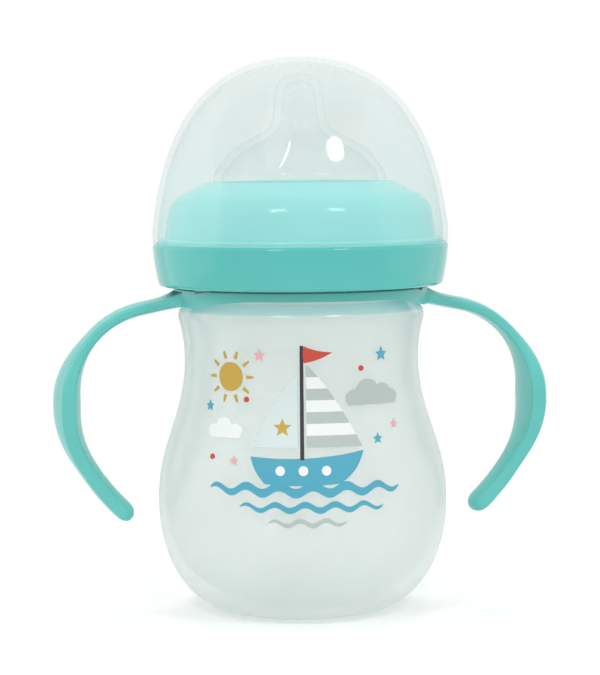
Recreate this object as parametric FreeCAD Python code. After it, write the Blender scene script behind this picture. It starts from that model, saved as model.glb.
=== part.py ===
"""Wide-neck baby bottle with a pair of handles, a screw collar, a teat and a dome-shaped hood."""
import FreeCAD, Part
import math
import os
from FreeCAD import Vector

# Driving dimensions, in millimetres and degrees. The bottle stands on z = 0 about the z axis,
# and the handles lie along the x axis.

# Neck and thread
NECK_BORE_RADIUS = 24.0
NECK_WALL = 1.6
NECK_HEIGHT = 20.2
NECK_RIM_ROUND = 0.5
THREAD_DEPTH = 1.3
THREAD_FOOT_WIDTH = 2.4
THREAD_CREST_WIDTH = 1.1
THREAD_PITCH = 5.0
THREAD_CLEARANCE = 0.3
THREAD_PLAY = 0.2
THREAD_ROOT_SINK = 0.4
NECK_THREAD_TURNS = 1.5
NECK_THREAD_DROP = 4.5
COLLAR_THREAD_TURNS = 1.125

# Bottle, from the base up
BOTTLE_WALL = 1.4
BASE_THICKNESS = 1.8
BASE_PUSH_UP = 2.2
STANDING_RADIUS = 15.1
STANDING_WIDTH = 2.0
BELLY_HEIGHT = 26.7
BELLY_SWELL = 6.6
BELLY_SIDE_FULLNESS = 0.59
BELLY_BASE_FULLNESS = 0.58
WAIST_ABOVE_BELLY = 33.3
WAIST_INSET = 1.3
WAIST_EASE = 0.4
SHOULDER_ABOVE_WAIST = 9.4
SHOULDER_WIDTH = 3.3
SHOULDER_CROWN = 0.4
SHOULDER_CROWN_HEIGHT = 1.7
SHOULDER_EDGE_INSET = 0.6
SHOULDER_EDGE_HEIGHT = 2.8
SHOULDER_SLOPE = 44.0

# Handle ring
RING_WALL = 2.8
RING_HEIGHT = 4.4
RING_SEAT_CLEARANCE = 0.3
RING_NOTCH_DEPTH = 0.75
RING_NOTCH_LENGTH = 3.6
RING_NOTCH_ANGLE = 27.6
RING_ARCH_RISE = 2.2
RING_ARCH_ANGLE = 23.0
RING_ARCH_FLAT = 14.0
RING_EDGE_ROUND = 0.4

# Handles, along their centre line from the ring to the tip
STRAP_SINK = 5.5
STRAP_RISE = 2.4
STRAP_SLOPE = 11.7
STRAP_LENGTH = 14.1
TOP_BEND_RADIUS = 20.5
GRIP_LENGTH = 3.8
LOW_BEND_RADIUS = 23.0
LOW_BEND_TURN = 29.5
TAIL_RADIUS = 52.0
TAIL_LENGTH = 14.9
TIP_LENGTH = 3.0
STRAP_THICKNESS = 3.1
STRAP_WIDTH = 10.0
STRAP_CROWN = 0.4
STRAP_CORNER = 0.8
STRAP_ROOT_THICKENING = 3.2
STRAP_ROOT_LENGTH = 10.7
STRAP_FLARE_RADIUS = 10.0
STRAP_FLARE_SINK = 0.7
GRIP_THICKNESS = 6.4
GRIP_WIDTH = 18.0
GRIP_CROWN = 1.5
GRIP_CORNER = 0.45
GRIP_UPPER_LENGTH = 18.0
GRIP_LOWER_LENGTH = 18.0
GRIP_OUTWARD_SHARE = 0.6
TIP_THICKNESS = 4.6
TIP_WIDTH = 9.0
TIP_OUTER_CROWN = 0.4
TIP_INNER_CROWN = 0.9
TIP_CORNER = 0.9
HANDLE_FACE_CROWN = 0.15

# Collar
COLLAR_PLAY = 0.3
COLLAR_WALL = 1.6
COLLAR_GROOVE = 1.7
COLLAR_GROOVE_DEPTH = 3.0
COLLAR_LEDGE = 2.9
COLLAR_LEDGE_THICKNESS = 1.8
COLLAR_BAND_HEIGHT = 10.1
COLLAR_BAND_TAPER = 1.5
COLLAR_BAND_BARREL = 0.3
COLLAR_BAND_TOP_ROUND = 0.9
COLLAR_BAND_FOOT_ROUND = 1.1
COLLAR_SLEEVE_RECESS = 0.8
COLLAR_WALL_DRAFT = 1.4
COLLAR_SHOULDER_ROUND = 6.6
COLLAR_TOP_SLOPE = 25.5
COLLAR_LIP_ROUND = 1.2
COLLAR_OPENING_INSET = 3.2
CLAMP_RIB_WIDTH = 2.0
CLAMP_RIB_HEIGHT = 1.15
HOOD_SPIGOT_HEIGHT = 1.2
HOOD_SPIGOT_CLEARANCE = 0.25

# Teat
FLANGE_THICKNESS = 2.0
FLANGE_EDGE_CLEARANCE = 0.5
TEAT_LIP_CLEARANCE = 0.4
TEAT_WALL = 1.9
TEAT_RIM_RISE = 1.2
TEAT_RIM_ROUND = 2.2
MOUND_HEIGHT = 11.2
MOUND_FOOT_RADIUS = 16.5
MOUND_ROUND = 9.0
NIPPLE_FOOT_RADIUS = 6.4
NIPPLE_FOOT_ROUND = 5.0
NIPPLE_RADIUS = 5.5
NIPPLE_HEIGHT = 12.4
NIPPLE_ROUND = 5.0
FEED_HOLE_RADIUS = 0.4

# Hood
HOOD_INSET = 0.1
HOOD_WALL = 1.2
HOOD_HEADROOM = 2.6
HOOD_RIM_HEIGHT = 3.0
HOOD_LEAN = 1.9
HOOD_SIDE_FULLNESS = 0.45
HOOD_TOP_FULLNESS = 0.745
DIMPLE_PLACE = 0.39
DIMPLE_DEPTH = 2.2
DIMPLE_TALL_RADIUS = 120.0
DIMPLE_WIDE_RADIUS = 51.0
DIMPLE_EDGE_ROUND = 4.0
DIMPLE_TURN = 58.2

# Sizes that follow from the driving dimensions
NECK_RADIUS = NECK_BORE_RADIUS + NECK_WALL
THREAD_CREST_RADIUS = NECK_RADIUS + THREAD_DEPTH
SLEEVE_BORE_RADIUS = THREAD_CREST_RADIUS + THREAD_CLEARANCE
SHOULDER_RADIUS = NECK_RADIUS + SHOULDER_WIDTH
WAIST_RADIUS = SHOULDER_RADIUS - WAIST_INSET
BELLY_RADIUS = WAIST_RADIUS + BELLY_SWELL

WAIST_Z = BELLY_HEIGHT + WAIST_ABOVE_BELLY
SHOULDER_Z = WAIST_Z + SHOULDER_ABOVE_WAIST
EDGE_Z = SHOULDER_Z + SHOULDER_EDGE_HEIGHT
EDGE_RADIUS = SHOULDER_RADIUS - SHOULDER_EDGE_INSET
SLOPE_GRADIENT = math.tan(math.radians(SHOULDER_SLOPE))
NECK_FOOT_Z = EDGE_Z + (EDGE_RADIUS - NECK_RADIUS) * SLOPE_GRADIENT
NECK_RIM_Z = NECK_FOOT_Z + NECK_HEIGHT

RING_BORE_RADIUS = THREAD_CREST_RADIUS + THREAD_CLEARANCE
RING_RADIUS = RING_BORE_RADIUS + RING_WALL
RING_BOTTOM_Z = EDGE_Z + RING_SEAT_CLEARANCE
RING_TOP_Z = RING_BOTTOM_Z + RING_HEIGHT
RING_SEAT_Z = RING_BOTTOM_Z + (EDGE_RADIUS - RING_BORE_RADIUS) * SLOPE_GRADIENT

SLEEVE_RADIUS = SLEEVE_BORE_RADIUS + COLLAR_WALL
UPPER_WALL_RADIUS = SLEEVE_RADIUS + COLLAR_GROOVE + COLLAR_WALL
COLLAR_RADIUS = UPPER_WALL_RADIUS + COLLAR_LEDGE
COLLAR_BOTTOM_Z = RING_TOP_Z + COLLAR_PLAY
LEDGE_Z = COLLAR_BOTTOM_Z + COLLAR_BAND_HEIGHT
CLAMP_Z = NECK_RIM_Z + FLANGE_THICKNESS
OPENING_RADIUS = NECK_BORE_RADIUS - COLLAR_OPENING_INSET
TOP_GRADIENT = math.tan(math.radians(COLLAR_TOP_SLOPE))
TOP_THICKNESS = COLLAR_WALL / math.cos(math.radians(COLLAR_TOP_SLOPE))
LIP_Z = CLAMP_Z + CLAMP_RIB_HEIGHT + TOP_THICKNESS + (NECK_RADIUS - OPENING_RADIUS) * TOP_GRADIENT

TEAT_RIM_Z = LIP_Z + TEAT_RIM_RISE
MOUND_Z = TEAT_RIM_Z + MOUND_HEIGHT
TIP_Z = MOUND_Z + NIPPLE_HEIGHT
HOOD_RADIUS = COLLAR_RADIUS - HOOD_INSET
HOOD_TOP_Z = TIP_Z + HOOD_HEADROOM + HOOD_WALL

NECK_THREAD_Z = NECK_RIM_Z - NECK_THREAD_DROP - NECK_THREAD_TURNS * THREAD_PITCH
FLANK_GRADIENT = (THREAD_FOOT_WIDTH - THREAD_CREST_WIDTH) / 2 / THREAD_DEPTH
COLLAR_THREAD_SHIFT = THREAD_FOOT_WIDTH - FLANK_GRADIENT * (THREAD_DEPTH + THREAD_CLEARANCE) + THREAD_PLAY

AXIS = Vector(0, 0, 1)
ORIGIN = Vector(0, 0, 0)
HALF_TURN = 180
SHARED_SIDE = 0.48
WHOLE_SIDE = 0.96
ROOT_SECTIONS = 8
UPPER_SECTIONS = 10
LOWER_SECTIONS = 10
TIP_ANGLES = (18, 36, 52, 66, 78, 86)


def at(radius, height):
    """A point of a profile, in the half plane y = 0."""
    return Vector(radius, 0, height)


def line(start, end):
    return Part.LineSegment(start, end).toShape()


def arc(start, middle, end):
    return Part.Arc(start, middle, end).toShape()


def curve(*poles):
    """A Bezier curve with these poles."""
    bezier = Part.BezierCurve()
    bezier.setPoles(list(poles))
    return bezier.toShape()


def revolve(edges):
    """The solid that a closed profile sweeps out about the z axis."""
    face = Part.Face(Part.Wire(edges))
    return face.revolve(ORIGIN, AXIS, 2 * HALF_TURN)


def turned(shape, angle):
    """A copy of a shape, turned about the z axis."""
    copy = shape.copy()
    copy.rotate(ORIGIN, AXIS, angle)
    return copy


def rounded(corners):
    """Edges of a closed outline whose corners are (radius, height) or (radius, height, round).

    A round takes up at most half of a side that has a round at its other end too, and else nearly all of it.
    """
    points = [at(corner[0], corner[1]) for corner in corners]
    rounds = [corner[2] if len(corner) > 2 else 0 for corner in corners]
    edges = []
    starts = []
    ends = []
    for i, point in enumerate(points):
        follower = (i + 1) % len(points)
        before = points[i - 1] - point
        after = points[follower] - point
        room_before = before.Length * (SHARED_SIDE if rounds[i - 1] else WHOLE_SIDE)
        room_after = after.Length * (SHARED_SIDE if rounds[follower] else WHOLE_SIDE)
        before.normalize()
        after.normalize()
        half = before.getAngle(after) / 2
        setback = min(rounds[i] / math.tan(half), room_before, room_after)
        starts.append(point + before * setback)
        ends.append(point + after * setback)
        if setback:
            radius = setback * math.tan(half)
            inward = (before + after).normalize()
            middle = point + inward * (radius / math.sin(half) - radius)
            edges.append(arc(starts[i], middle, ends[i]))
    for i in range(len(points)):
        follower = (i + 1) % len(points)
        edges.append(line(ends[i], starts[follower]))
    return Part.__sortEdges__(edges)


def thread_ridge(wall_radius, direction, turns, start_z, start_angle):
    """A helical ridge on a wall: direction is 1 for an outward ridge and -1 for an inward one."""
    root = wall_radius - direction * THREAD_ROOT_SINK
    crest = wall_radius + direction * THREAD_DEPTH
    root_half = THREAD_FOOT_WIDTH / 2 + FLANK_GRADIENT * THREAD_ROOT_SINK
    crest_half = THREAD_CREST_WIDTH / 2
    corners = [at(root, -root_half), at(crest, -crest_half), at(crest, crest_half), at(root, root_half)]
    profile = Part.makePolygon(corners + corners[:1])
    helix = Part.makeHelix(THREAD_PITCH, THREAD_PITCH * turns, wall_radius)
    ridge = Part.Wire(helix.Edges).makePipeShell([profile], True, True)
    ridge.rotate(ORIGIN, AXIS, start_angle)
    ridge.translate(Vector(0, 0, start_z))
    return ridge


def bottle_side(inset, floor_z, standing_radius):
    """Edges of the bottle's side from its floor to its shoulder, drawn in by inset for the inside."""
    belly = BELLY_RADIUS - inset
    waist = WAIST_RADIUS - inset
    shoulder = SHOULDER_RADIUS - inset
    belly_rise = BELLY_HEIGHT - floor_z
    ease = WAIST_EASE * WAIST_ABOVE_BELLY
    base = curve(
        at(standing_radius, floor_z),
        at(standing_radius + BELLY_BASE_FULLNESS * (belly - standing_radius), floor_z),
        at(belly, BELLY_HEIGHT - BELLY_SIDE_FULLNESS * belly_rise),
        at(belly, BELLY_HEIGHT))
    side = curve(
        at(belly, BELLY_HEIGHT),
        at(belly, BELLY_HEIGHT + ease),
        at(waist, WAIST_Z - ease),
        at(waist, WAIST_Z))
    flare_radius = (WAIST_INSET ** 2 + SHOULDER_ABOVE_WAIST ** 2) / (2 * WAIST_INSET)
    half_turn = math.asin(SHOULDER_ABOVE_WAIST / flare_radius) / 2
    middle = at(waist + flare_radius * (1 - math.cos(half_turn)), WAIST_Z + flare_radius * math.sin(half_turn))
    flare = arc(at(waist, WAIST_Z), middle, at(shoulder, SHOULDER_Z))
    return [base, side, flare]


def make_bottle():
    """The hollow bottle with its recessed base, waisted side and threaded neck."""
    standing_inner = STANDING_RADIUS - STANDING_WIDTH
    inner_floor_z = BASE_PUSH_UP + BASE_THICKNESS
    shoulder = at(SHOULDER_RADIUS, SHOULDER_Z)
    edge = at(EDGE_RADIUS, EDGE_Z)
    neck_foot = at(NECK_RADIUS, NECK_FOOT_Z)
    crown = at(SHOULDER_RADIUS + SHOULDER_CROWN, SHOULDER_Z + SHOULDER_CROWN_HEIGHT)
    rim_shoulder_z = NECK_RIM_Z - NECK_RIM_ROUND
    slant = NECK_RIM_ROUND * (1 - math.sqrt(0.5))
    inner_shoulder = at(SHOULDER_RADIUS - BOTTLE_WALL, SHOULDER_Z)
    bore_foot = at(NECK_BORE_RADIUS, NECK_FOOT_Z - NECK_WALL / 2)
    push_up_radius = (standing_inner ** 2 + BASE_PUSH_UP ** 2) / (2 * BASE_PUSH_UP)
    half_turn = math.asin(standing_inner / push_up_radius) / 2
    push_up_middle = at(
        push_up_radius * math.sin(half_turn),
        BASE_PUSH_UP - push_up_radius * (1 - math.cos(half_turn)))
    outside = [
        arc(at(0, BASE_PUSH_UP), push_up_middle, at(standing_inner, 0)),
        line(at(standing_inner, 0), at(STANDING_RADIUS, 0)),
        *bottle_side(0, 0, STANDING_RADIUS),
        curve(shoulder, crown, edge),
        line(edge, neck_foot),
        line(neck_foot, at(NECK_RADIUS, rim_shoulder_z)),
        arc(at(NECK_RADIUS, rim_shoulder_z),
            at(NECK_RADIUS - slant, NECK_RIM_Z - slant),
            at(NECK_RADIUS - NECK_RIM_ROUND, NECK_RIM_Z)),
        line(at(NECK_RADIUS - NECK_RIM_ROUND, NECK_RIM_Z), at(NECK_BORE_RADIUS, NECK_RIM_Z))]
    inside = [
        line(at(NECK_BORE_RADIUS, NECK_RIM_Z), bore_foot),
        line(bore_foot, inner_shoulder),
        *bottle_side(BOTTLE_WALL, inner_floor_z, standing_inner),
        line(at(standing_inner, inner_floor_z), at(0, inner_floor_z)),
        line(at(0, inner_floor_z), at(0, BASE_PUSH_UP))]
    body = revolve(Part.__sortEdges__(outside + inside))
    ridge = thread_ridge(NECK_RADIUS, 1, NECK_THREAD_TURNS, NECK_THREAD_Z, 0)
    return body.fuse(ridge)


def handle_station(distance):
    """Centre (x, z) and heading, in radians below the x direction, at a distance along a handle."""
    x = RING_RADIUS - STRAP_SINK
    z = RING_BOTTOM_Z + STRAP_RISE
    heading = math.radians(STRAP_SLOPE)
    runs = [
        (STRAP_LENGTH, 0),
        (TOP_BEND_RADIUS * (math.pi / 2 - heading), TOP_BEND_RADIUS),
        (GRIP_LENGTH, 0),
        (LOW_BEND_RADIUS * math.radians(LOW_BEND_TURN), LOW_BEND_RADIUS),
        (TAIL_LENGTH + TIP_LENGTH, TAIL_RADIUS)]
    left = distance
    for length, radius in runs:
        step = min(left, length)
        if radius:
            bent = heading + step / radius
            x += radius * (math.sin(bent) - math.sin(heading))
            z += radius * (math.cos(bent) - math.cos(heading))
            heading = bent
        else:
            x += step * math.cos(heading)
            z -= step * math.sin(heading)
        left -= step
    return x, z, heading


def handle_section(distance, swelling, thickness, width, outer_crown, inner_crown, corner):
    """Closed wire of a handle's cross-section: nearly flat front and back, crowned flanks, round corners.

    Near the ring the strap thickens upwards. The swelling, over the strap's thickness, goes mostly outwards.
    The corners take up no more than the front and back give them.
    """
    x, z, heading = handle_station(distance)
    outward = Vector(math.sin(heading), 0, math.cos(heading))
    across = Vector(0, 1, 0)
    nearness = max(0, 1 - distance / STRAP_ROOT_LENGTH)
    thickening = STRAP_ROOT_THICKENING * nearness * nearness
    centre = Vector(x, 0, z) + outward * ((thickening + GRIP_OUTWARD_SHARE * swelling) / 2)
    half_thick = (thickness + thickening) / 2
    half_wide = width / 2
    corner = min(corner, WHOLE_SIDE * (half_thick - max(outer_crown, inner_crown)))
    bend = corner * (1 - math.sqrt(0.5))
    flats = {1: half_thick - outer_crown - corner, -1: half_thick - inner_crown - corner}
    face = half_wide - HANDLE_FACE_CROWN * (flats[1] + flats[-1]) / thickness

    def spot(out, side):
        return centre + outward * out + across * side

    edges = []
    for sign in (1, -1):
        start = -sign * flats[-sign]
        end = sign * flats[sign]
        low = face - corner
        edges.append(arc(
            spot(start, sign * face),
            spot((start + end) / 2, sign * half_wide),
            spot(end, sign * face)))
        edges.append(arc(
            spot(end, sign * face),
            spot(end + sign * (corner - bend), sign * (face - bend)),
            spot(end + sign * corner, sign * low)))
        edges.append(arc(
            spot(end + sign * corner, sign * low),
            spot(sign * half_thick, 0),
            spot(end + sign * corner, -sign * low)))
        edges.append(arc(
            spot(end + sign * corner, -sign * low),
            spot(end + sign * (corner - bend), -sign * (face - bend)),
            spot(end, -sign * face)))
    return Part.Wire(edges)


def blend(start, end, share):
    """A smooth change from start to end as share goes from 0 to 1."""
    return start + (end - start) * share * share * (3 - 2 * share)


def root_flare(distance):
    """How far each side of the strap stands out where it sweeps into the ring along an arc.

    The arc touches a circle a little inside the ring's outer face, and from there inwards the width stays.
    """
    sunk_radius = RING_RADIUS - STRAP_FLARE_SINK
    arc_centre_radius = sunk_radius + STRAP_FLARE_RADIUS
    arc_end_x = math.sqrt(arc_centre_radius ** 2 - (STRAP_WIDTH / 2 + STRAP_FLARE_RADIUS) ** 2)
    touch_x = arc_end_x * sunk_radius / arc_centre_radius
    x, _, heading = handle_station(distance)
    top_x = x + RING_HEIGHT / 2 * math.sin(heading)
    inward = max(0, arc_end_x - max(top_x, touch_x))
    return STRAP_FLARE_RADIUS - math.sqrt(STRAP_FLARE_RADIUS ** 2 - inward ** 2)


def make_handle():
    """One handle, along +x: a strap that widens into a grip and narrows again to a round tip."""
    top_bend = TOP_BEND_RADIUS * (math.pi / 2 - math.radians(STRAP_SLOPE))
    low_bend = LOW_BEND_RADIUS * math.radians(LOW_BEND_TURN)
    middle = STRAP_LENGTH + top_bend + GRIP_LENGTH / 2
    tail_end = middle + GRIP_LENGTH / 2 + low_bend + TAIL_LENGTH
    root_distances = [STRAP_ROOT_LENGTH * i / ROOT_SECTIONS for i in range(ROOT_SECTIONS)]
    upper_step = (middle - STRAP_ROOT_LENGTH) / UPPER_SECTIONS
    upper_distances = [STRAP_ROOT_LENGTH + upper_step * i for i in range(UPPER_SECTIONS)]
    sections = []
    for distance in root_distances + upper_distances:
        widening = max(0, 1 - (middle - distance) / GRIP_UPPER_LENGTH)
        thickness = blend(STRAP_THICKNESS, GRIP_THICKNESS, widening)
        width = blend(STRAP_WIDTH, GRIP_WIDTH, widening) + 2 * root_flare(distance)
        crown = blend(STRAP_CROWN, GRIP_CROWN, widening)
        corner = blend(STRAP_CORNER, GRIP_CORNER, widening)
        swelling = thickness - STRAP_THICKNESS
        sections.append(handle_section(distance, swelling, thickness, width, crown, crown, corner))
    for i in range(LOWER_SECTIONS + 1):
        distance = middle + (tail_end - middle) * i / LOWER_SECTIONS
        narrowing = min(1, (distance - middle) / GRIP_LOWER_LENGTH)
        thickness = blend(GRIP_THICKNESS, TIP_THICKNESS, narrowing)
        width = blend(GRIP_WIDTH, TIP_WIDTH, narrowing)
        outer_crown = blend(GRIP_CROWN, TIP_OUTER_CROWN, narrowing)
        inner_crown = blend(GRIP_CROWN, TIP_INNER_CROWN, narrowing)
        corner = blend(GRIP_CORNER, TIP_CORNER, narrowing)
        swelling = thickness - STRAP_THICKNESS
        sections.append(handle_section(distance, swelling, thickness, width, outer_crown, inner_crown, corner))
    for angle in TIP_ANGLES:
        distance = tail_end + TIP_LENGTH * math.sin(math.radians(angle))
        share = math.cos(math.radians(angle))
        sizes = (TIP_THICKNESS, TIP_WIDTH, TIP_OUTER_CROWN, TIP_INNER_CROWN, TIP_CORNER)
        sections.append(handle_section(distance, swelling, *[size * share for size in sizes]))
    return Part.makeLoft(sections, True, False)


def through_ring(edges):
    """A bar across the ring in the y direction, with a closed outline in the plane y = 0."""
    face = Part.Face(Part.Wire(edges))
    face.translate(Vector(0, -2 * RING_RADIUS, 0))
    return face.extrude(Vector(0, 4 * RING_RADIUS, 0))


def ring_arch():
    """The low opening under the front and back of the ring: flat in the middle and round at its ends."""
    end_x = RING_RADIUS * math.cos(math.radians(RING_ARCH_ANGLE))
    top = RING_BOTTOM_Z + RING_ARCH_RISE
    run = end_x - RING_ARCH_FLAT
    end_radius = (run ** 2 + RING_ARCH_RISE ** 2) / (2 * RING_ARCH_RISE)
    half_angle = math.asin(run / end_radius) / 2
    middle_x = RING_ARCH_FLAT + end_radius * math.sin(half_angle)
    middle_z = top - end_radius * (1 - math.cos(half_angle))
    floor_z = RING_BOTTOM_Z - RING_HEIGHT
    return through_ring([
        line(at(-RING_ARCH_FLAT, top), at(RING_ARCH_FLAT, top)),
        arc(at(RING_ARCH_FLAT, top), at(middle_x, middle_z), at(end_x, RING_BOTTOM_Z)),
        line(at(end_x, RING_BOTTOM_Z), at(end_x, floor_z)),
        line(at(end_x, floor_z), at(-end_x, floor_z)),
        line(at(-end_x, floor_z), at(-end_x, RING_BOTTOM_Z)),
        arc(at(-end_x, RING_BOTTOM_Z), at(-middle_x, middle_z), at(-RING_ARCH_FLAT, top))])


def ring_notch():
    """The wedge-shaped relief in the top of the ring beside the +x handle."""
    deep_x = RING_RADIUS * math.cos(math.radians(RING_NOTCH_ANGLE))
    thin_x = deep_x - RING_NOTCH_LENGTH
    over_z = RING_TOP_Z + RING_NOTCH_DEPTH
    return through_ring([
        line(at(thin_x, RING_TOP_Z), at(deep_x, RING_TOP_Z - RING_NOTCH_DEPTH)),
        line(at(deep_x, RING_TOP_Z - RING_NOTCH_DEPTH), at(deep_x, over_z)),
        line(at(deep_x, over_z), at(thin_x, over_z)),
        line(at(thin_x, over_z), at(thin_x, RING_TOP_Z))])


def ring_surroundings():
    """The spaces over the ring, in its bore and under it, which the handles stay out of."""
    floor_z = RING_BOTTOM_Z - RING_HEIGHT
    inside = revolve(rounded([
        (0, floor_z),
        (RING_RADIUS, floor_z),
        (RING_RADIUS, RING_BOTTOM_Z),
        (EDGE_RADIUS, RING_BOTTOM_Z),
        (RING_BORE_RADIUS, RING_SEAT_Z),
        (RING_BORE_RADIUS, RING_TOP_Z),
        (0, RING_TOP_Z)]))
    over = Part.makeCylinder(COLLAR_RADIUS, RING_HEIGHT, Vector(0, 0, RING_TOP_Z))
    return inside.fuse(over)


def make_handle_ring():
    """The ring that rests on the shoulder, with its two handles in one moulding."""
    ring = revolve(rounded([
        (RING_BORE_RADIUS, RING_SEAT_Z),
        (EDGE_RADIUS, RING_BOTTOM_Z),
        (RING_RADIUS, RING_BOTTOM_Z, RING_EDGE_ROUND),
        (RING_RADIUS, RING_TOP_Z, RING_EDGE_ROUND),
        (RING_BORE_RADIUS, RING_TOP_Z)]))
    handle = make_handle().cut(ring_surroundings())
    moulding = ring.fuse([handle, turned(handle, HALF_TURN)])
    notch = ring_notch()
    return moulding.cut([ring_arch(), notch, turned(notch, HALF_TURN)])


def top_z(radius):
    """Height of the collar's sloping top at a radius."""
    return LIP_Z - (radius - OPENING_RADIUS) * TOP_GRADIENT


def make_collar():
    """The screw collar: threaded sleeve, outer band, ledge for the hood and sloping top with its opening."""
    corner_radius = UPPER_WALL_RADIUS - COLLAR_WALL_DRAFT
    sleeve_foot_z = COLLAR_BOTTOM_Z + COLLAR_SLEEVE_RECESS
    foot_radius = COLLAR_RADIUS - COLLAR_BAND_TAPER
    barrel_z = (COLLAR_BOTTOM_Z + LEDGE_Z) / 2
    barrel_radius = (COLLAR_RADIUS + foot_radius) / 2 + COLLAR_BAND_BARREL
    under_ledge_z = LEDGE_Z - COLLAR_LEDGE_THICKNESS
    groove_top_z = LEDGE_Z + COLLAR_GROOVE_DEPTH
    rib_outer = NECK_RADIUS
    rib_inner = rib_outer - CLAMP_RIB_WIDTH
    spigot_radius = HOOD_RADIUS - HOOD_WALL - HOOD_SPIGOT_CLEARANCE
    spigot_z = LEDGE_Z + HOOD_SPIGOT_HEIGHT
    corners = [
        (foot_radius, COLLAR_BOTTOM_Z, COLLAR_BAND_FOOT_ROUND),
        (barrel_radius, barrel_z, COLLAR_RADIUS),
        (COLLAR_RADIUS, LEDGE_Z, COLLAR_BAND_TOP_ROUND),
        (spigot_radius, LEDGE_Z),
        (spigot_radius, spigot_z, HOOD_SPIGOT_HEIGHT / 2),
        (UPPER_WALL_RADIUS, spigot_z),
        (corner_radius, top_z(corner_radius), COLLAR_SHOULDER_ROUND),
        (OPENING_RADIUS, top_z(OPENING_RADIUS), COLLAR_LIP_ROUND),
        (OPENING_RADIUS, top_z(OPENING_RADIUS) - TOP_THICKNESS),
        (rib_inner, top_z(rib_inner) - TOP_THICKNESS),
        (rib_inner, CLAMP_Z),
        (rib_outer, CLAMP_Z),
        (rib_outer, top_z(rib_outer) - TOP_THICKNESS),
        (SLEEVE_BORE_RADIUS, top_z(SLEEVE_BORE_RADIUS) - TOP_THICKNESS),
        (SLEEVE_BORE_RADIUS, sleeve_foot_z),
        (SLEEVE_RADIUS, sleeve_foot_z),
        (SLEEVE_RADIUS, groove_top_z),
        (SLEEVE_RADIUS + COLLAR_GROOVE / 2, groove_top_z),
        (SLEEVE_RADIUS + COLLAR_GROOVE, under_ledge_z),
        (COLLAR_RADIUS - COLLAR_WALL, under_ledge_z),
        (barrel_radius - COLLAR_WALL, barrel_z, COLLAR_RADIUS),
        (foot_radius - COLLAR_WALL, COLLAR_BOTTOM_Z)]
    body = revolve(rounded(corners))
    angle = 2 * HALF_TURN * (NECK_THREAD_TURNS - COLLAR_THREAD_TURNS)
    start_z = NECK_THREAD_Z + THREAD_PITCH * angle / (2 * HALF_TURN) - COLLAR_THREAD_SHIFT
    ridge = thread_ridge(SLEEVE_BORE_RADIUS, -1, COLLAR_THREAD_TURNS, start_z, angle)
    return body.fuse(ridge)


def make_teat():
    """The soft teat: a flat flange, a stem through the collar's opening, a mound and a nipple with its hole."""
    flange_radius = SLEEVE_BORE_RADIUS - THREAD_DEPTH - FLANGE_EDGE_CLEARANCE
    stem_radius = OPENING_RADIUS - TEAT_LIP_CLEARANCE
    mound_middle_z = (TEAT_RIM_Z + MOUND_Z) / 2
    outside = [
        (0, TIP_Z),
        (NIPPLE_RADIUS, TIP_Z, NIPPLE_ROUND),
        (NIPPLE_FOOT_RADIUS, MOUND_Z, NIPPLE_FOOT_ROUND),
        (MOUND_FOOT_RADIUS, mound_middle_z, MOUND_ROUND),
        (stem_radius, TEAT_RIM_Z, TEAT_RIM_ROUND),
        (stem_radius, CLAMP_Z),
        (flange_radius, CLAMP_Z),
        (flange_radius, NECK_RIM_Z)]
    inside = [
        (stem_radius - TEAT_WALL, NECK_RIM_Z),
        (stem_radius - TEAT_WALL, TEAT_RIM_Z, TEAT_RIM_ROUND),
        (MOUND_FOOT_RADIUS - TEAT_WALL, mound_middle_z - TEAT_WALL / 2, MOUND_ROUND),
        (NIPPLE_FOOT_RADIUS - TEAT_WALL, MOUND_Z - TEAT_WALL / 2, NIPPLE_FOOT_ROUND),
        (NIPPLE_RADIUS - TEAT_WALL, TIP_Z - TEAT_WALL, NIPPLE_ROUND - TEAT_WALL),
        (0, TIP_Z - TEAT_WALL)]
    body = revolve(rounded(outside + inside))
    hole = Part.makeCylinder(FEED_HOLE_RADIUS, 4 * TEAT_WALL, Vector(0, 0, TIP_Z - 2 * TEAT_WALL))
    return body.cut(hole)


def hood_dome(inset):
    """Poles of the hood's dome, from its rim to its top, drawn in by inset for the inside."""
    radius = HOOD_RADIUS - inset
    foot_z = LEDGE_Z + HOOD_RIM_HEIGHT
    crest_z = HOOD_TOP_Z - inset
    side_z = foot_z + HOOD_SIDE_FULLNESS * (crest_z - foot_z)
    return [
        at(radius, foot_z),
        at(radius - HOOD_LEAN, side_z),
        at(HOOD_TOP_FULLNESS * radius, crest_z),
        at(0, crest_z)]


def hood_form(inset):
    """The full body of the hood, drawn in by inset for the inside."""
    poles = hood_dome(inset)
    radius = poles[0].x
    return revolve([
        curve(*poles),
        line(poles[-1], at(0, LEDGE_Z)),
        line(at(0, LEDGE_Z), at(radius, LEDGE_Z)),
        line(at(radius, LEDGE_Z), poles[0])])


def dimple_barrel(inset):
    """The barrel whose side hollows the hood at the dimple on the +x side, swollen by inset for the inside."""
    bezier = Part.BezierCurve()
    bezier.setPoles(hood_dome(0))
    spot = bezier.value(DIMPLE_PLACE)
    upward = bezier.tangent(DIMPLE_PLACE)[0]
    outward = Vector(upward.z, 0, -upward.x)
    half_length = math.sqrt((DIMPLE_TALL_RADIUS + inset) ** 2 - (DIMPLE_TALL_RADIUS - DIMPLE_WIDE_RADIUS) ** 2)
    barrel = revolve([
        arc(at(0, -half_length), at(DIMPLE_WIDE_RADIUS + inset, 0), at(0, half_length)),
        line(at(0, half_length), at(0, -half_length))])
    barrel.rotate(ORIGIN, Vector(0, 1, 0), math.degrees(math.atan2(upward.x, upward.z)))
    barrel.translate(spot + outward * (DIMPLE_WIDE_RADIUS - DIMPLE_DEPTH))
    return barrel


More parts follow.
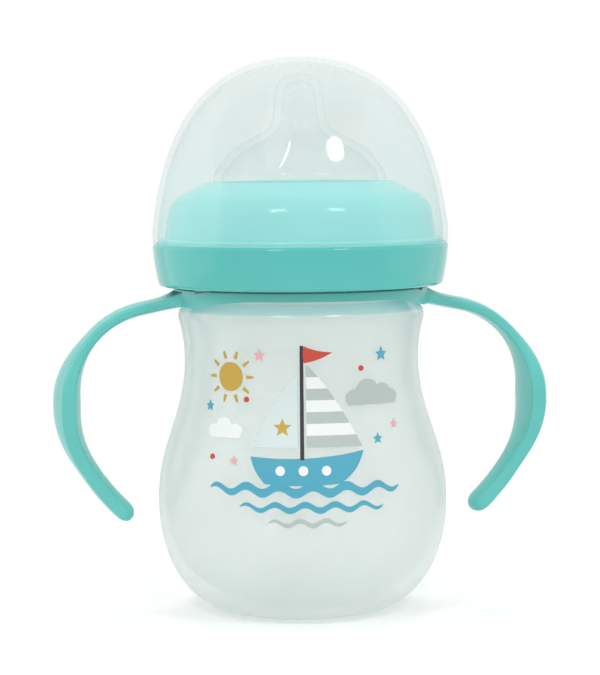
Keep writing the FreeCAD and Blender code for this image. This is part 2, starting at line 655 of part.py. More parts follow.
def dimple_edges(outer):
    """Edges where the dimples meet the dome: those that aren't on the dome's foot or along its side."""
    edges = []
    for edge in outer.Edges:
        box = edge.BoundBox
        off_axis = min(abs(box.YMin), abs(box.YMax))
        if box.ZMin > LEDGE_Z + HOOD_RIM_HEIGHT and off_axis > DIMPLE_EDGE_ROUND:
            edges.append(edge)
    return edges


def make_hood():
    """The dome over the teat, a thin shell with two shallow finger dimples on opposite sides."""
    outer = hood_form(0)
    inner = hood_form(HOOD_WALL)
    for turn in (DIMPLE_TURN, DIMPLE_TURN + HALF_TURN):
        outer = outer.cut(turned(dimple_barrel(0), turn))
        inner = inner.cut(turned(dimple_barrel(HOOD_WALL), turn))
    outer = outer.makeFillet(DIMPLE_EDGE_ROUND, dimple_edges(outer))
    return outer.cut(inner)


def save(name, shape):
    """Write one piece as a single clean solid."""
    solid = shape.removeSplitter().Solids[0]
    print(name, "solids", len(shape.Solids), "valid", solid.isValid(), "volume", round(solid.Volume, 1))
    solid.exportStep("parts/" + name + ".step")


os.makedirs("parts", exist_ok=True)
save("bottle_body", make_bottle())
save("handle_ring", make_handle_ring())
save("collar", make_collar())
save("teat", make_teat())
save("hood", make_hood())
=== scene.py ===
"""Looks of the baby bottle: finishes, the printed design, the moulded scale, studio light and camera."""
import bmesh
import bpy
import math
from mathutils import Matrix, Vector
from mathutils.bvhtree import BVHTree
from mathutils.geometry import delaunay_2d_cdt


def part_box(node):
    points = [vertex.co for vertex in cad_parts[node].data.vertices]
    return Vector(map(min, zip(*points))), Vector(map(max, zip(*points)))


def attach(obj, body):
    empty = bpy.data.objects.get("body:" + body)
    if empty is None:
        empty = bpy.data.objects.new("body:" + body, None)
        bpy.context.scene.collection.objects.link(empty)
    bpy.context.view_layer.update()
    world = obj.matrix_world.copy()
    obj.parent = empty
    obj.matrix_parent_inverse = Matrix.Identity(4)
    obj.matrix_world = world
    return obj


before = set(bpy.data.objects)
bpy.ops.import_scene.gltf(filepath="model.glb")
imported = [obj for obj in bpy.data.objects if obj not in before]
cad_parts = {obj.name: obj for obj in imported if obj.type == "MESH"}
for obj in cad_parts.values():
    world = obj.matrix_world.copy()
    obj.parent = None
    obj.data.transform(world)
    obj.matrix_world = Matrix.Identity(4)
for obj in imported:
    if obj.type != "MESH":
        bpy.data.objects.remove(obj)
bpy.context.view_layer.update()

MM = 0.001

# Camera, fitted to the photograph's 600 by 675 frame
FRAME_HEIGHT_PX = 675
FOCAL_PX = 2621.9
SENSOR_MM = 36.0
CAMERA_AZIMUTH = math.radians(-8.2)
CAMERA_DISTANCE = 620 * MM
CAMERA_HEIGHT = 110.57 * MM
CAMERA_PITCH = math.radians(4.243)
CAMERA_ROLL = math.radians(-0.509)
AXIS_SHIFT_PX = 1.2

# Layers on the bottle's wall
PROBE_RADIUS = 80 * MM
LAYER_STEP = 1.2 * MM
LAYER_MERGE = 0.0001 * LAYER_STEP
INSIDE_OUTLINE = 1
SHARP_ANGLE = math.radians(40)

# Printed design, on the side of the bottle that faces the camera
PRINT_ANGLE = CAMERA_AZIMUTH - math.pi / 2
PRINT_BASE_Z = 33.5 * MM
PRINT_SCALE = 1.14 * MM
INK_LIFT = 0.05 * MM
INK_LAYER = 0.012 * MM
INK_SINK = 0.05 * MM

# Motifs of the design, in units of PRINT_SCALE
CURVE_STEPS = 64
WAVE_TAPER = 0.35
CLOUD_FOOT = 1.2
SAIL_POWER = 0.8
SAIL_STEPS = 8
SAIL_BANDS = 7
MAIN_SAIL = {"mast": 0.9, "width": 11.5, "foot": 7.4, "head": 23.4}
JIB = {"mast": -0.9, "width": -9.6, "foot": 7.4, "head": 21.6}
SUN = {"along": -15.2, "up": 21.0}
RAY_TAPER = 0.5

# Moulded scale on the back of the bottle
SCALE_ANGLE = PRINT_ANGLE + math.pi
SCALE_FLOOR_Z = 4 * MM
SCALE_SLICE = 0.5 * MM
SCALE_STEP_ML = 30
SCALE_TOP_ML = 150
MILLILITRE = 1e-6
TICK_WIDTH = 0.6 * MM
TICK_LIFT = 0.22 * MM
TICK_LENGTH = 8 * MM
NUMBER_GAP = 1.2 * MM
DIGIT_SIZE = 5 * MM
DIGIT_DROP = DIGIT_SIZE / 3

# Finishes, in linear colour; a pair of shares is for a wall seen square and for one seen at a slant
TEAL = (0.088, 0.520, 0.480)
# Painted light: a lighter teal for the collar above the hood's seat, standing in for the light falling on it
# from above
TEAL_PAINTED_LIGHT = (0.295, 0.875, 0.865)
PAINTED_LIGHT_BELOW_LEDGE = 0.25 * MM
PAINTED_LIGHT_FADE = 0.3 * MM
COLLAR_ROUGH = 0.12
HANDLE_TEAL = (0.113, 0.535, 0.490)
HANDLE_ROUGH = 0.3
BOTTLE_MILK = (0.875, 0.908, 0.893)
BOTTLE_TINT = (0.975, 0.988, 0.983)
BOTTLE_ROUGH = 0.12
BOTTLE_MILK_SHARES = (0.42, 0.9)
BOTTLE_GLOSS_SHARES = (0.04, 0.3)
# Painted shade with a painted teal reflection of the ring on the bottle's shoulder, then a painted highlight
# just under the ring
SHOULDER_PAINTED_SHADE_AND_REFLECTION = (0.5, 0.86, 0.87)
SHOULDER_PAINTED_HIGHLIGHT = (0.97, 0.98, 0.98)
RING_DEPTH = 4.4 * MM
SHOULDER_BELOW_RING = 1.2 * MM
SHOULDER_BAND = 2.5 * MM
SHOULDER_FADE = 0.4 * MM
HOOD_MILK = (0.905, 0.92, 0.915)
HOOD_TINT = (0.94, 0.96, 0.955)
HOOD_ROUGH = 0.06
HOOD_MILK_SHARES = (0.105, 0.32)
HOOD_GLOSS_SHARES = (0.04, 0.06)
SILICONE = (0.94, 0.96, 0.955)
SILICONE_TINT = (0.997, 0.999, 0.999)
SILICONE_ROUGH = 0.1
SILICONE_MILK_SHARES = (0.02, 0.13)
SILICONE_GLOSS_SHARES = (0.035, 0.3)
INKS = {
    "grey": (0.46, 0.53, 0.51),
    "pale": (0.66, 0.76, 0.74),
    "white": (0.86, 0.90, 0.89),
    "blue": (0.075, 0.38, 0.51),
    "red": (0.56, 0.065, 0.035),
    "ochre": (0.55, 0.36, 0.05),
    "pink": (0.80, 0.42, 0.45),
    "black": (0.018, 0.02, 0.024),
}
INK_ROUGH = 0.42
INK_GRAIN_DEPTH = 0.006 * MM

# Texture of the plastics
PLASTIC_IOR = 1.49
TONE_PER_METRE = 45
TONE_DETAIL = 4.0
TONE_DRIFT = 0.03
TONE_LOW = 0.3
TONE_HIGH = 0.7
ROUGH_DRIFT = 0.15
GRAIN_PER_METRE = 400
GRAIN_DETAIL = 1.0
GRAIN_DEPTH = 0.002 * MM
SCATTER_THROUGH = 0.5
EVEN_SLANT = 0.5
MILK_POWER = 2.5
GLOSS_POWER = 5.0

# Studio
FLOOR_RADIUS = 400 * MM
FLOOR_CLEAR = 60 * MM
FLOOR_SIDES = 96
FLOOR_WHITE = 0.9
FLOOR_ROUGH = 0.9
FLOOR_GLOW = 0.15
FILL_LEVEL = 0.56
LIGHT_CENTRE = Vector((0, 0, 80 * MM))
CLEAR_WALLS = 32


# Shader helpers

def new_material(name):
    """An empty node material with its Principled shader."""
    material = bpy.data.materials.new(name)
    material.use_nodes = True
    nodes = material.node_tree.nodes
    return material, nodes, material.node_tree.links, nodes["Principled BSDF"]


def noise(nodes, links, per_metre, detail):
    """A noise texture in the part's own coordinates, with its features per metre."""
    place = nodes.new("ShaderNodeTexCoord")
    texture = nodes.new("ShaderNodeTexNoise")
    texture.inputs["Scale"].default_value = per_metre
    texture.inputs["Detail"].default_value = detail
    links.new(place.outputs["Object"], texture.inputs["Vector"])
    return texture.outputs["Fac"]


def shade(colour, factor):
    """A colour made lighter or darker by a factor."""
    return tuple(min(1, part * factor) for part in colour)


def drifting(nodes, links, drift, colour):
    """A colour that wanders a little round its own tone."""
    ramp = nodes.new("ShaderNodeValToRGB")
    dark, light = ramp.color_ramp.elements
    dark.position = TONE_LOW
    dark.color = (*shade(colour, 1 - TONE_DRIFT), 1)
    light.position = TONE_HIGH
    light.color = (*shade(colour, 1 + TONE_DRIFT), 1)
    links.new(drift, ramp.inputs["Fac"])
    return ramp.outputs["Color"]


def spread(nodes, links, factor, low, high):
    """A number that goes from low to high with a factor from 0 to 1."""
    scale = nodes.new("ShaderNodeMapRange")
    scale.inputs["To Min"].default_value = low
    scale.inputs["To Max"].default_value = high
    links.new(factor, scale.inputs["Value"])
    return scale.outputs["Result"]


def bump(nodes, links, height, depth, shader):
    """Surface relief of a depth in metres."""
    relief = nodes.new("ShaderNodeBump")
    relief.inputs["Strength"].default_value = 1.0
    relief.inputs["Distance"].default_value = depth
    links.new(height, relief.inputs["Height"])
    links.new(relief.outputs["Normal"], shader.inputs["Normal"])


def by_height(nodes, links, low, high, under, over):
    """A colour that goes from one to another between two heights."""
    place = nodes.new("ShaderNodeTexCoord")
    split = nodes.new("ShaderNodeSeparateXYZ")
    links.new(place.outputs["Object"], split.inputs["Vector"])
    rise = nodes.new("ShaderNodeMapRange")
    rise.interpolation_type = "SMOOTHSTEP"
    rise.inputs["From Min"].default_value = low
    rise.inputs["From Max"].default_value = high
    links.new(split.outputs["Z"], rise.inputs["Value"])
    mix = nodes.new("ShaderNodeMix")
    mix.data_type = "RGBA"
    links.new(rise.outputs["Result"], mix.inputs["Factor"])
    links.new(under, mix.inputs["A"])
    links.new(over, mix.inputs["B"])
    return mix.outputs["Result"]


def slant_share(nodes, links, power, square, edge):
    """A share that goes from square, where a surface is seen square, to edge, where it is seen at a slant."""
    slant = nodes.new("ShaderNodeLayerWeight")
    slant.inputs["Blend"].default_value = EVEN_SLANT
    steep = nodes.new("ShaderNodeMath")
    steep.operation = "POWER"
    steep.inputs[1].default_value = power
    links.new(slant.outputs["Facing"], steep.inputs[0])
    return spread(nodes, links, steep.outputs["Value"], square, edge)


def mix_shaders(nodes, links, share, first, second):
    """The first shader with a share of the second; share is a number or a socket."""
    mix = nodes.new("ShaderNodeMixShader")
    if isinstance(share, float):
        mix.inputs["Fac"].default_value = share
    else:
        links.new(share, mix.inputs["Fac"])
    links.new(first.outputs[0], mix.inputs[1])
    links.new(second.outputs[0], mix.inputs[2])
    return mix


# Kinds of finish

def plastic(name, colour, rough, grain_depth=GRAIN_DEPTH, uppers=()):
    """Moulded plastic: tone and gloss drift slowly, over a fine moulded skin.

    Each of uppers is (colour, low, high) of another tone, which takes over between those heights.
    """
    material, nodes, links, shader = new_material(name)
    drift = noise(nodes, links, TONE_PER_METRE, TONE_DETAIL)
    tone = drifting(nodes, links, drift, colour)
    for upper_colour, low, high in uppers:
        tone = by_height(nodes, links, low, high, tone, drifting(nodes, links, drift, upper_colour))
    links.new(tone, shader.inputs["Base Color"])
    roughness = spread(nodes, links, drift, rough * (1 - ROUGH_DRIFT), rough * (1 + ROUGH_DRIFT))
    links.new(roughness, shader.inputs["Roughness"])
    bump(nodes, links, noise(nodes, links, GRAIN_PER_METRE, GRAIN_DETAIL), grain_depth, shader)
    shader.inputs["IOR"].default_value = PLASTIC_IOR
    return material


def milky_wall(name, colour, tint, rough, milk_shares, gloss_shares, uppers=()):
    """A face of a thin milky wall: it scatters part of the light back and part through, lets the rest pass
    straight, and has a clear gloss.
    """
    material = plastic(name, colour, rough, uppers=uppers)
    nodes = material.node_tree.nodes
    links = material.node_tree.links
    shader = nodes["Principled BSDF"]
    shader.inputs["Specular IOR Level"].default_value = 0
    through = nodes.new("ShaderNodeBsdfTranslucent")
    links.new(shader.inputs["Base Color"].links[0].from_socket, through.inputs["Color"])
    straight = nodes.new("ShaderNodeBsdfTransparent")
    straight.inputs["Color"].default_value = (*tint, 1)
    gloss = nodes.new("ShaderNodeBsdfAnisotropic")
    gloss.inputs["Roughness"].default_value = rough
    milk = mix_shaders(nodes, links, SCATTER_THROUGH, shader, through)
    wall = mix_shaders(nodes, links, slant_share(nodes, links, MILK_POWER, *milk_shares), straight, milk)
    skin = mix_shaders(nodes, links, slant_share(nodes, links, GLOSS_POWER, *gloss_shares), wall, gloss)
    links.new(skin.outputs[0], nodes["Material Output"].inputs["Surface"])
    return material


def ink_paint(name, colour):
    """Screen-printed ink: slightly uneven colour with a satin skin."""
    return plastic("ink_" + name, colour, INK_ROUGH, INK_GRAIN_DEPTH)


# Finishes of the moulded pieces

def dress(node, material):
    """Give a CAD node its finish."""
    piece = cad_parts[node]
    piece.data.materials.clear()
    piece.data.materials.append(material)


def milky_bottle():
    """The bottle's wall, with a band of painted shade and painted teal reflection of the ring on its
    shoulder, and a painted highlight above that band, just under the ring.
    """
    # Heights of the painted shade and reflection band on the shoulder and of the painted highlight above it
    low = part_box("handle_ring")[1][2] - RING_DEPTH - SHOULDER_BELOW_RING
    rim = low + SHOULDER_BAND
    painted_tones = ((SHOULDER_PAINTED_SHADE_AND_REFLECTION, low, low + SHOULDER_FADE), (SHOULDER_PAINTED_HIGHLIGHT, rim, rim + SHOULDER_FADE))
    return milky_wall("milky_bottle", BOTTLE_MILK, BOTTLE_TINT, BOTTLE_ROUGH,
                      BOTTLE_MILK_SHARES, BOTTLE_GLOSS_SHARES, painted_tones)


def milky_hood():
    """The hood's thin wall, which is nearly clear."""
    return milky_wall("milky_hood", HOOD_MILK, HOOD_TINT, HOOD_ROUGH, HOOD_MILK_SHARES, HOOD_GLOSS_SHARES)


def clear_silicone():
    """The teat's clear silicone, which shows mostly by its edges and its gloss."""
    return milky_wall("clear_silicone", SILICONE, SILICONE_TINT, SILICONE_ROUGH,
                      SILICONE_MILK_SHARES, SILICONE_GLOSS_SHARES)


def collar_plastic():
    """The collar's teal, with painted light: lighter above the hood's seat, for the light that falls on it
    from above.
    """
    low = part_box("hood")[0][2] - PAINTED_LIGHT_BELOW_LEDGE
    return plastic("teal_collar", TEAL, COLLAR_ROUGH, uppers=((TEAL_PAINTED_LIGHT, low, low + PAINTED_LIGHT_FADE),))


def handle_plastic():
    """The teal of the handles and their ring."""
    return plastic("teal_plastic", HANDLE_TEAL, HANDLE_ROUGH)


def finish_nodes():
    """Dress the five moulded pieces."""
    dress("handle_ring", handle_plastic())
    dress("collar", collar_plastic())
    dress("bottle_body", milky)
    dress("hood", milky_hood())
    dress("teat", clear_silicone())


# Places on the bottle's wall

def wall_tree(node):
    """A search tree of a CAD node's surface."""
    shape = bmesh.new()
    shape.from_mesh(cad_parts[node].data)
    return BVHTree.FromBMesh(shape)


def direction(angle):
    """The way outwards from the bottle's axis at an angle."""
    return Vector((math.cos(angle), math.sin(angle), 0))


def outer_radius(angle, height):
    """Radius of the bottle's outer wall at a height."""
    outward = direction(angle)
    start = outward * PROBE_RADIUS + Vector((0, 0, height))
    return bottle_tree.ray_cast(start, -outward)[0].xy.length


def inner_radius(angle, height):
    """Radius of the bottle's inner wall at a height."""
    return bottle_tree.ray_cast(Vector((0, 0, height)), direction(angle))[0].xy.length


def on_bottle(centre, along, height, lift):
    """A point on the bottle's wall, at a distance along it from the centre angle, lifted off it."""
    radius = outer_radius(centre, height)
    angle = centre + along / radius
    radius = outer_radius(angle, height) + lift
    return direction(angle) * radius + Vector((0, 0, height))


# Layers on the wall

def filled(outline):
    """Points and triangles that fill a closed outline, close enough together to follow the wall."""
    edge = []
    for (x, y), (end_x, end_y) in zip(outline, outline[1:] + outline[:1]):
        steps = max(1, math.ceil(math.dist((x, y), (end_x, end_y)) / LAYER_STEP))
        for k in range(steps):
            share = k / steps
            edge.append(Vector((x + (end_x - x) * share, y + (end_y - y) * share)))
    low = Vector((min(p.x for p in edge), min(p.y for p in edge)))
    high = Vector((max(p.x for p in edge), max(p.y for p in edge)))
    grid = []
    for column in range(1, int((high.x - low.x) / LAYER_STEP) + 1):
        for row in range(1, int((high.y - low.y) / LAYER_STEP) + 1):
            grid.append(low + Vector((column, row)) * LAYER_STEP)
    ring = [(i, (i + 1) % len(edge)) for i in range(len(edge))]
    whole = [list(range(len(edge)))]
    points, _, triangles, *_ = delaunay_2d_cdt(edge + grid, ring, whole, INSIDE_OUTLINE, LAYER_MERGE)
    return points, triangles


def add_piece(name, mesh, material):
    """A new piece on the bottle."""
    mesh.materials.append(material)
    piece = bpy.data.objects.new(name, mesh)
    bpy.context.scene.collection.objects.link(piece)
    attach(piece, "bottle")


def add_layer(name, outlines, material, centre, lift, sink):
    """A closed thin layer with these outlines on the bottle's wall."""
    shape = bmesh.new()
    for outline in outlines:
        points, triangles = filled(outline)
        top = [shape.verts.new(on_bottle(centre, p.x, PRINT_BASE_Z + p.y, lift)) for p in points]
        foot = [shape.verts.new(on_bottle(centre, p.x, PRINT_BASE_Z + p.y, -sink)) for p in points]
        sides = set()
        for corners in triangles:
            shape.faces.new([top[i] for i in corners])
            shape.faces.new([foot[i] for i in reversed(corners)])
            for i, start in enumerate(corners):
                sides.add((start, corners[(i + 1) % len(corners)]))
        for start, end in sides:
            if (end, start) not in sides:
                shape.faces.new([top[end], top[start], foot[start], foot[end]])
    loose = [v for v in shape.verts if not v.link_faces]
    bmesh.ops.delete(shape, geom=loose, context="VERTS")
    bmesh.ops.recalc_face_normals(shape, faces=shape.faces)
    mesh = bpy.data.meshes.new(name)
    shape.to_mesh(mesh)
    mesh.shade_smooth()
    mesh.set_sharp_from_angle(angle=SHARP_ANGLE)
    add_piece(name, mesh, material)


# Outlines of the printed motifs, along and up the wall

def circle(along, up, radius, sides=28):
    """A circle round a point."""
    angles = [2 * math.pi * i / sides for i in range(sides)]
    return [(along + radius * math.cos(a), up + radius * math.sin(a)) for a in angles]


def star(along, up, radius, points=5, waist=0.45):
    """A star that stands on two of its points."""
    outline = []
    for i in range(2 * points):
        reach = radius if i % 2 == 0 else radius * waist
        angle = math.pi / 2 + math.pi * i / points
        outline.append((along + reach * math.cos(angle), up + reach * math.sin(angle)))
    return outline


def bowed(*corners, steps=10):
    """An outline whose sides bow outwards: each corner is (along, up, bow of the side after it)."""
    outline = []
    for i, (x, y, bow) in enumerate(corners):
        end_x, end_y, _ = corners[(i + 1) % len(corners)]
        length = math.dist((x, y), (end_x, end_y))
        side_x = (end_y - y) / length
        side_y = (x - end_x) / length
        for k in range(steps):
            share = k / steps
            push = 4 * bow * share * (1 - share)
            along = x + (end_x - x) * share + side_x * push
            up = y + (end_y - y) * share + side_y * push
            outline.append((along, up))
    return outline


def wave(left, right, up, thickness, swing, length):
    """A wavy band with pointed ends."""
    top = []
    low = []
    for i in range(CURVE_STEPS + 1):
        share = i / CURVE_STEPS
        along = left + (right - left) * share
        middle = up + swing * math.sin(2 * math.pi * (along - left) / length)
        half = thickness / 2 * math.sin(math.pi * share) ** WAVE_TAPER if 0 < i < CURVE_STEPS else 0
        top.append((along, middle + half))
        low.append((along, middle - half))
    return low + top[-2:0:-1]


def cloud(along, up, *puffs):
    """A cloud with a flat foot under round puffs, each (along, up, radius) from its middle."""
    left = min(x - r for x, y, r in puffs)
    right = max(x + r for x, y, r in puffs)
    top = []
    for i in range(1, CURVE_STEPS):
        x = left + (right - left) * (1 - math.cos(math.pi * i / CURVE_STEPS)) / 2
        heights = [y + math.sqrt(r * r - (x - px) ** 2) for px, y, r in puffs if abs(x - px) < r]
        top.append((along + x, up + max(heights)))
    foot_left = (along + left + CLOUD_FOOT / 2, up - CLOUD_FOOT)
    foot_right = (along + right - CLOUD_FOOT / 2, up - CLOUD_FOOT)
    return [foot_left, foot_right] + top[::-1]


def sail(mast, width, foot, head, low=0, high=1):
    """A sail, or a band of it between two shares of its height; width is negative for a sail on the left."""
    edge = []
    for i in range(SAIL_STEPS + 1):
        share = low + (high - low) * i / SAIL_STEPS
        edge.append((mast + width * (1 - share) ** SAIL_POWER, foot + (head - foot) * share))
    return [(mast, edge[0][1])] + edge + [(mast, edge[-1][1])]


def main_sail_bands(first):
    """Every second band of the main sail, counted up from its foot."""
    return [sail(**MAIN_SAIL, low=k / SAIL_BANDS, high=(k + 1) / SAIL_BANDS)
            for k in range(first, SAIL_BANDS, 2)]


def rays(along, up, inner, outer, count, width):
    """Short dashes round a sun."""
    middle = Vector((along, up))
    outlines = []
    for i in range(count):
        angle = 2 * math.pi * i / count
        out = Vector((math.cos(angle), math.sin(angle)))
        side = Vector((-out.y, out.x)) * width / 2
        tip = side * RAY_TAPER
        foot = middle + out * inner
        head = middle + out * outer
        outlines.append([tuple(corner) for corner in (foot - side, head - tip, head + tip, foot + side)])
    return outlines


def to_size(outline):
    """An outline of the design, in metres on the bottle."""
    return [(x * PRINT_SCALE, y * PRINT_SCALE) for x, y in outline]


def sea_layers():
    """Two blue waves with a grey one under them."""
    upper = wave(left=-20, right=21, up=-0.8, thickness=1.9, swing=0.7, length=6.8)
    middle = wave(left=-13, right=17, up=-4.3, thickness=1.3, swing=0.6, length=6.0)
    lower = wave(left=-7, right=9, up=-7.4, thickness=1.0, swing=0.5, length=5.2)
    return [("waves", "blue", [upper, middle]), ("low_wave", "grey", [lower])]


def boat_layers():
    """A hull with portholes, a mast with a pennant, a striped main sail and a jib with a star."""
    hull = bowed((-10.5, 5.6, 0.5), (-7.5, 0.3, 0.3), (7.5, 0.3, 0.9), (12.6, 6.6, -0.8))
    mast = bowed((-0.4, 5.0, 0), (0.4, 5.0, 0), (0.35, 27.4, 0), (-0.35, 27.4, 0))
    pennant = bowed((0.45, 27.3, 0.2), (0.45, 23.9, 0.3), (6.2, 26.0, -0.3))
    return [
        ("hull", "blue", [hull]),
        ("portholes", "white", [circle(x, 2.9, 0.95) for x in (-4.4, 0.2, 4.8)]),
        ("mast", "black", [mast]),
        ("pennant", "red", [pennant]),
        ("sail_grey", "grey", main_sail_bands(0)),
        ("sail_white", "white", main_sail_bands(1)),
        ("jib", "pale", [sail(**JIB)]),
        ("jib_star", "ochre", [star(-3.9, 11.2, 1.9)]),
    ]


def sky_layers():
    """A sun, two clouds, stars and dots."""
    sun = [circle(**SUN, radius=2.9)] + rays(**SUN, inner=3.8, outer=5.3, count=10, width=0.75)
    big_cloud = cloud(15.2, 16.5, (-4.4, 0, 1.9), (-1.3, 1.2, 2.7), (2.4, 0.7, 2.2), (4.9, 0, 1.6))
    small_cloud = cloud(-16.2, 10.2, (-3.0, 0, 1.4), (-0.5, 0.8, 2.0), (2.4, 0.1, 1.5))
    dots = [circle(x, y, 0.55, sides=16) for x, y in ((12.4, 22.6), (-19.4, 5.2), (-11.4, 16.6))]
    return [
        ("sun", "ochre", sun),
        ("big_cloud", "grey", [big_cloud]),
        ("small_cloud", "white", [small_cloud]),
        ("blue_stars", "blue", [star(17.4, 25.2, 1.5), star(-20.6, 15.0, 1.1), star(16.0, 8.6, 1.1)]),
        ("pink_stars", "pink", [star(-8.6, 25.4, 1.3), star(20.4, 11.2, 1.0), star(-14.2, 4.6, 1.0)]),
        ("red_dots", "red", dots),
    ]


def make_print():
    """The printed front: a small boat on waves under a sun, clouds and stars."""
    ink = {name: ink_paint(name, colour) for name, colour in INKS.items()}
    for i, (name, colour, outlines) in enumerate(sea_layers() + boat_layers() + sky_layers()):
        lift = INK_LIFT + i * INK_LAYER
        add_layer("print_" + name, [to_size(o) for o in outlines], ink[colour], PRINT_ANGLE, lift, INK_SINK)


# Moulded scale

def fill_heights():
    """Height of the surface of each marked volume in the bottle, keyed by millilitres."""
    heights = {}
    volume = 0
    height = SCALE_FLOOR_Z
    wanted = SCALE_STEP_ML
    while wanted <= SCALE_TOP_ML:
        height += SCALE_SLICE
        volume += math.pi * inner_radius(SCALE_ANGLE, height) ** 2 * SCALE_SLICE
        if volume >= wanted * MILLILITRE:
            heights[wanted] = height
            wanted += SCALE_STEP_ML
    return heights


def number_mesh(text):
    """A thick mesh of a number of the scale: x runs along it, y up and z through it."""
    curve = bpy.data.curves.new("scale_number", "FONT")
    curve.body = text
    curve.size = DIGIT_SIZE
    curve.extrude = TICK_LIFT
    writing = bpy.data.objects.new("scale_number", curve)
    bpy.context.scene.collection.objects.link(writing)
    mesh = bpy.data.meshes.new_from_object(writing.evaluated_get(bpy.context.evaluated_depsgraph_get()))
    bpy.data.objects.remove(writing)
    return mesh


def make_scale():
    """The moulded volume scale on the back: raised ticks with plain numbers."""
    ticks = []
    for volume, height in fill_heights().items():
        low = height - PRINT_BASE_Z - TICK_WIDTH / 2
        high = height - PRINT_BASE_Z + TICK_WIDTH / 2
        ticks.append([(0, low), (TICK_LENGTH, low), (TICK_LENGTH, high), (0, high)])
        mesh = number_mesh(str(volume))
        for vertex in mesh.vertices:
            along = TICK_LENGTH + NUMBER_GAP + vertex.co.x
            up = height - DIGIT_DROP + vertex.co.y
            vertex.co = on_bottle(SCALE_ANGLE, along, up, vertex.co.z)
        add_piece("scale_number_" + str(volume), mesh, milky)
    add_layer("scale_ticks", ticks, milky, SCALE_ANGLE, TICK_LIFT, TICK_LIFT)


# Stage, light and camera

def make_floor():
    """A plain white floor round the object, which keeps its soft shadow and fades into the white beyond."""
    bpy.ops.mesh.primitive_circle_add(vertices=FLOOR_SIDES, radius=FLOOR_RADIUS, fill_type="NGON")
    floor = bpy.context.object
    floor.name = "floor"
    material, nodes, links, shader = new_material("floor_paper")
    shader.inputs["Base Color"].default_value = (FLOOR_WHITE, FLOOR_WHITE, FLOOR_WHITE, 1)
    shader.inputs["Roughness"].default_value = FLOOR_ROUGH
    shader.inputs["Specular IOR Level"].default_value = 0
    shader.inputs["Emission Color"].default_value = (1, 1, 1, 1)
    shader.inputs["Emission Strength"].default_value = FLOOR_GLOW
    place = nodes.new("ShaderNodeTexCoord")
    reach = nodes.new("ShaderNodeVectorMath")
    reach.operation = "LENGTH"
    links.new(place.outputs["Object"], reach.inputs[0])
    fade = nodes.new("ShaderNodeMapRange")
    fade.interpolation_type = "SMOOTHSTEP"
    fade.inputs["From Min"].default_value = FLOOR_CLEAR
    fade.inputs["From Max"].default_value = FLOOR_RADIUS
    fade.inputs["To Min"].default_value = 1
    fade.inputs["To Max"].default_value = 0
    links.new(reach.outputs["Value"], fade.inputs["Value"])
    links.new(fade.outputs["Result"], shader.inputs["Alpha"])
    floor.data.materials.append(material)


def larger(nodes, links, first, second):
    """The larger of two numbers in a node tree."""
    choice = nodes.new("ShaderNodeMath")
    choice.operation = "MAXIMUM"
    links.new(first, choice.inputs[0])
    links.new(second, choice.inputs[1])
    return choice.outputs["Value"]


def make_world():
    """White to the camera, in reflections and through clear walls, and a plain fill light for the rest."""
    world = bpy.data.worlds.new("studio")
    bpy.context.scene.world = world
    world.use_nodes = True
    nodes = world.node_tree.nodes
    links = world.node_tree.links
    background = nodes["Background"]
    background.inputs["Color"].default_value = (1, 1, 1, 1)
    path = nodes.new("ShaderNodeLightPath").outputs
    mirrored = larger(nodes, links, path["Is Glossy Ray"], path["Is Transmission Ray"])
    seen = larger(nodes, links, path["Is Camera Ray"], mirrored)
    links.new(spread(nodes, links, seen, FILL_LEVEL, 1.0), background.inputs["Strength"])


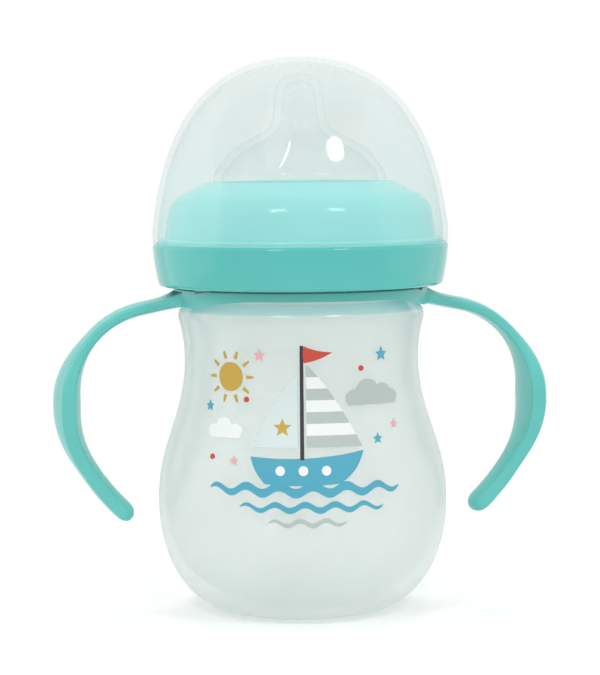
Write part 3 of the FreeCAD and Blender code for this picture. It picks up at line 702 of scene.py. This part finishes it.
def area_light(name, azimuth, elevation, distance, size, radiance, shape="SQUARE", mirrored=True):
    """A light that faces the middle of the object, placed by its direction from there.

    The azimuth is from the camera's side. A light that is not mirrored leaves no bright spot in glossy
    surfaces.
    """
    data = bpy.data.lights.new(name, "AREA")
    data.shape = shape
    data.size = size
    area = size * size if shape == "SQUARE" else math.pi * size * size / 4
    data.energy = radiance * math.pi * area
    lamp = bpy.data.objects.new(name, data)
    bpy.context.scene.collection.objects.link(lamp)
    side = math.radians(azimuth) + CAMERA_AZIMUTH
    rise = math.radians(elevation)
    towards = Vector((math.sin(side) * math.cos(rise), -math.cos(side) * math.cos(rise), math.sin(rise)))
    lamp.location = LIGHT_CENTRE + towards * distance
    lamp.rotation_euler = (-towards).to_track_quat("-Z", "Y").to_euler()
    lamp.visible_glossy = mirrored


def make_lights():
    """Softboxes left, right, above and in front, and a pair of small lamps that make the bright spots."""
    area_light("left_softbox", azimuth=-100, elevation=15, distance=0.9, size=1.2, radiance=0.5)
    area_light("right_softbox", azimuth=100, elevation=15, distance=0.9, size=1.2, radiance=0.3)
    area_light("top_softbox", azimuth=180, elevation=75, distance=0.8, size=0.6, radiance=2.0,
               mirrored=False)
    area_light("front_softbox", azimuth=0, elevation=25, distance=1.5, size=1.0, radiance=0.62,
               mirrored=False)
    area_light("left_lamp", azimuth=-22, elevation=41, distance=1.0, size=0.22, radiance=13.0, shape="DISK")
    area_light("right_lamp", azimuth=36, elevation=41, distance=1.0, size=0.22, radiance=13.0, shape="DISK")


def make_camera():
    """The camera at the photograph's viewing angle."""
    data = bpy.data.cameras.new("camera")
    camera = bpy.data.objects.new("camera", data)
    bpy.context.scene.collection.objects.link(camera)
    data.sensor_fit = "VERTICAL"
    data.sensor_width = SENSOR_MM
    data.sensor_height = SENSOR_MM
    data.lens = FOCAL_PX * SENSOR_MM / FRAME_HEIGHT_PX
    data.shift_x = -AXIS_SHIFT_PX / FRAME_HEIGHT_PX
    camera.location = (
        CAMERA_DISTANCE * math.sin(CAMERA_AZIMUTH),
        -CAMERA_DISTANCE * math.cos(CAMERA_AZIMUTH),
        CAMERA_HEIGHT)
    turn = Matrix.Rotation(CAMERA_AZIMUTH, 4, "Z")
    tilt = Matrix.Rotation(math.pi / 2 - CAMERA_PITCH, 4, "X")
    roll = Matrix.Rotation(CAMERA_ROLL, 4, "Z")
    camera.rotation_euler = (turn @ tilt @ roll).to_euler()
    bpy.context.scene.camera = camera


bottle_tree = wall_tree("bottle_body")
milky = milky_bottle()
finish_nodes()
make_print()
make_scale()
make_floor()
make_world()
make_lights()
make_camera()
bpy.context.scene.view_settings.view_transform = "Standard"
bpy.context.scene.cycles.transparent_max_bounces = CLEAR_WALLS
